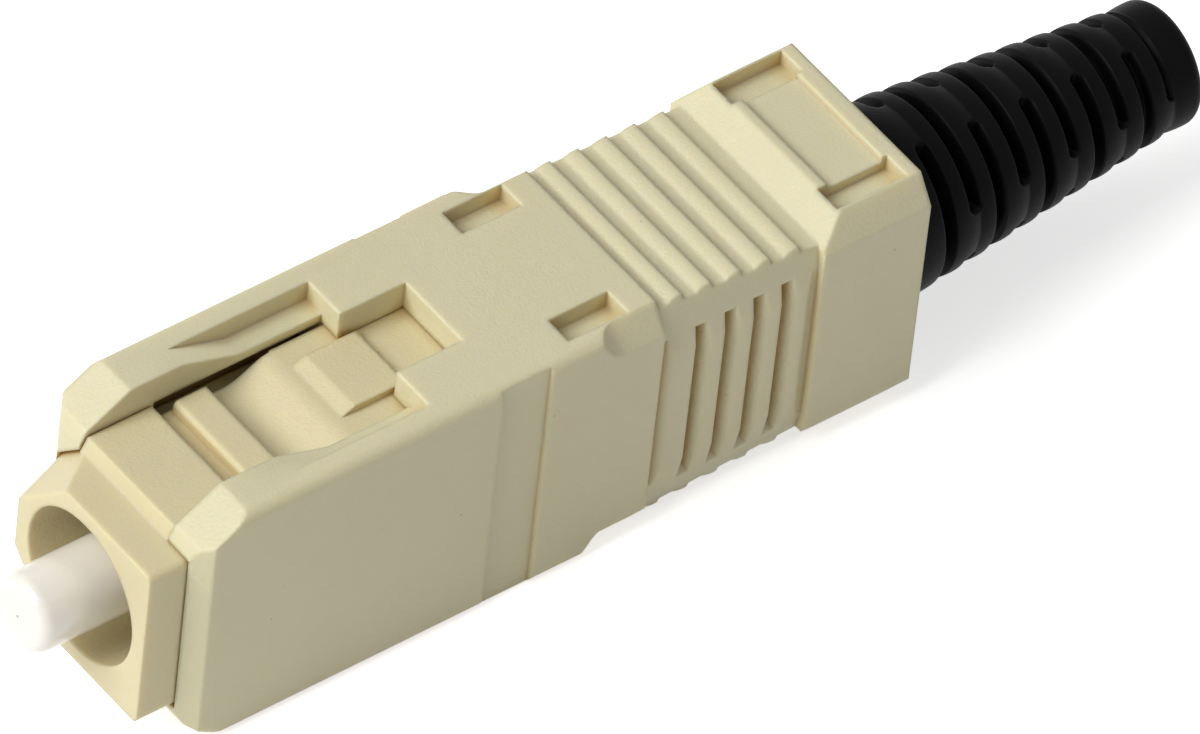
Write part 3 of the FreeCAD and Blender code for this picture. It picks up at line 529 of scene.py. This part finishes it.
def moulded_grip(name):
    """The grip's own skin with the grooves cut in, smooth over its rounds and crisp at its corners."""
    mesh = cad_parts["outer_housing"].data.copy()
    mesh.name = name
    skin = bmesh.new()
    skin.from_mesh(mesh)
    bmesh.ops.remove_doubles(skin, verts=skin.verts, dist=WELD_DISTANCE)
    skin.to_mesh(mesh)
    skin.free()
    piece = bpy.data.objects.new(name, mesh)
    bpy.context.scene.collection.objects.link(piece)
    cores = groove_cores("groove_cores")
    bpy.context.scene.collection.objects.link(cores)
    cut = piece.modifiers.new("grooves", "BOOLEAN")
    cut.object = cores
    cut.operation = "DIFFERENCE"
    cut.solver = "EXACT"
    bpy.context.view_layer.update()
    cut_mesh = bpy.data.meshes.new_from_object(piece.evaluated_get(bpy.context.evaluated_depsgraph_get()))
    piece.modifiers.clear()
    piece.data = cut_mesh
    bpy.data.objects.remove(cores)
    for old in ("custom_normal", "sharp_edge", "sharp_face"):
        if old in cut_mesh.attributes:
            cut_mesh.attributes.remove(cut_mesh.attributes[old])
    cut_mesh.shade_smooth()
    cut_mesh.set_sharp_from_angle(angle=GRIP_SMOOTH_ANGLE)
    even = piece.modifiers.new("flat faces stay flat", "WEIGHTED_NORMAL")
    even.keep_sharp = True
    return piece


grip = moulded_grip("grip_moulding")
grip.data.materials.clear()
grip.data.materials.append(moulded_pbt("PBT moulded, grip", "DBD4B2", "D7CFAB"))
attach(grip, "grip")
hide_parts("outer_housing")

# ---------------------------------------------------------------- table, light and camera
# The plug lies on a pale matt table in an even white room. One large soft lamp stands in front
# of it, above the ferrule's end, and the camera looks down on the side without the key.


def seen_directly(tree):
    """1 for a ray that the eye sees, straight, in a reflection or through glass, and 0 for any other."""
    path = add_node(tree, "ShaderNodeLightPath")
    seen = add_node(tree, "ShaderNodeMath", {"operation": "ADD", "use_clamp": True},
                    links={0: path.outputs["Is Camera Ray"], 1: path.outputs["Is Glossy Ray"]})
    seen = add_node(tree, "ShaderNodeMath", {"operation": "ADD", "use_clamp": True},
                    links={0: seen.outputs[0], 1: path.outputs["Is Transmission Ray"]})
    return seen.outputs[0]


def pale_table(name, light, dark, lift):
    """Pale matt table top, shown white to the eye except where the object's shadow lies."""
    material, tree = empty_material(name)
    place = add_node(tree, "ShaderNodeTexCoord").outputs["Object"]
    cloud_size = 30.0
    clouds = add_node(tree, "ShaderNodeTexNoise", values={"Scale": 1 / (cloud_size * MM)},
                      links={"Vector": place})
    colour = add_node(tree, "ShaderNodeMix", {"data_type": "RGBA"}, {6: linear(dark), 7: linear(light)},
                      {0: clouds.outputs["Fac"]})
    matt = add_node(tree, "ShaderNodeBsdfDiffuse", links={"Color": colour.outputs[2]})
    strength = add_node(tree, "ShaderNodeMath", {"operation": "MULTIPLY"}, {1: lift},
                        {0: seen_directly(tree)})
    glow = add_node(tree, "ShaderNodeEmission", links={"Strength": strength.outputs[0]})
    both = add_node(tree, "ShaderNodeAddShader", links={0: matt.outputs[0], 1: glow.outputs[0]})
    add_node(tree, "ShaderNodeOutputMaterial", links={"Surface": both.outputs[0]})
    return material


TABLE_SIZE = 4.0
bpy.ops.mesh.primitive_plane_add(size=TABLE_SIZE, location=(20 * MM, 0, cad_bounds[0][2]))
table = bpy.context.object
table.name = "table_top"
table.data.materials.append(pale_table("pale table, matt", light="F6F6F4", dark="F3F3F2", lift=0.64))


def white_room(name, level):
    """Even light from all around at a level, and plain white to the eye."""
    room = bpy.data.worlds.new(name)
    room.use_nodes = True
    tree = room.node_tree
    tree.nodes.clear()
    strength = add_node(tree, "ShaderNodeMapRange", values={"To Min": level, "To Max": 1.0},
                        links={"Value": seen_directly(tree)})
    air = add_node(tree, "ShaderNodeBackground", values={"Color": (1, 1, 1, 1)},
                   links={"Strength": strength.outputs["Result"]})
    add_node(tree, "ShaderNodeOutputWorld", links={"Surface": air.outputs["Background"]})
    return room


bpy.context.scene.world = white_room("white room", level=0.25)

LAMP_AIM = Vector((16 * MM, 0, 0))


def soft_lamp(name, direction, distance, size, level):
    """A square lamp aimed at the middle of the plug. A level of 1 lights a facing white card to white."""
    lamp = bpy.data.lights.new(name, "AREA")
    lamp.size = size
    lamp.energy = level * math.pi ** 2 * distance ** 2
    item = bpy.data.objects.new(name, lamp)
    towards = Vector(direction).normalized()
    item.location = LAMP_AIM + towards * distance
    item.rotation_euler = towards.to_track_quat("Z", "Y").to_euler()
    bpy.context.scene.collection.objects.link(item)


soft_lamp("front_lamp", direction=(-0.72, 0.12, 0.69), distance=0.6, size=0.40, level=0.98)

CAMERA_AIM = Vector((18.793, 0, -1.488)) * MM
CAMERA_DISTANCE = 680.277 * MM
CAMERA_AZIMUTH = math.radians(-131.839)
CAMERA_ELEVATION = math.radians(45.769)
CAMERA_ROLL = math.radians(6.693)
lens = bpy.data.cameras.new("camera")
lens.sensor_width = 36
lens.lens = 705.24
lens.clip_start = 0.05
lens.clip_end = 20
camera = bpy.data.objects.new("camera", lens)
turn = (Matrix.Rotation(CAMERA_AZIMUTH + math.pi / 2, 4, "Z")
        @ Matrix.Rotation(math.pi / 2 - CAMERA_ELEVATION, 4, "X")
        @ Matrix.Rotation(CAMERA_ROLL, 4, "Z"))
camera.matrix_world = Matrix.Translation(CAMERA_AIM) @ turn @ Matrix.Translation((0, 0, CAMERA_DISTANCE))
bpy.context.scene.collection.objects.link(camera)
bpy.context.scene.camera = camera

bpy.context.scene.view_settings.view_transform = "Standard"
bpy.context.view_layer.update()
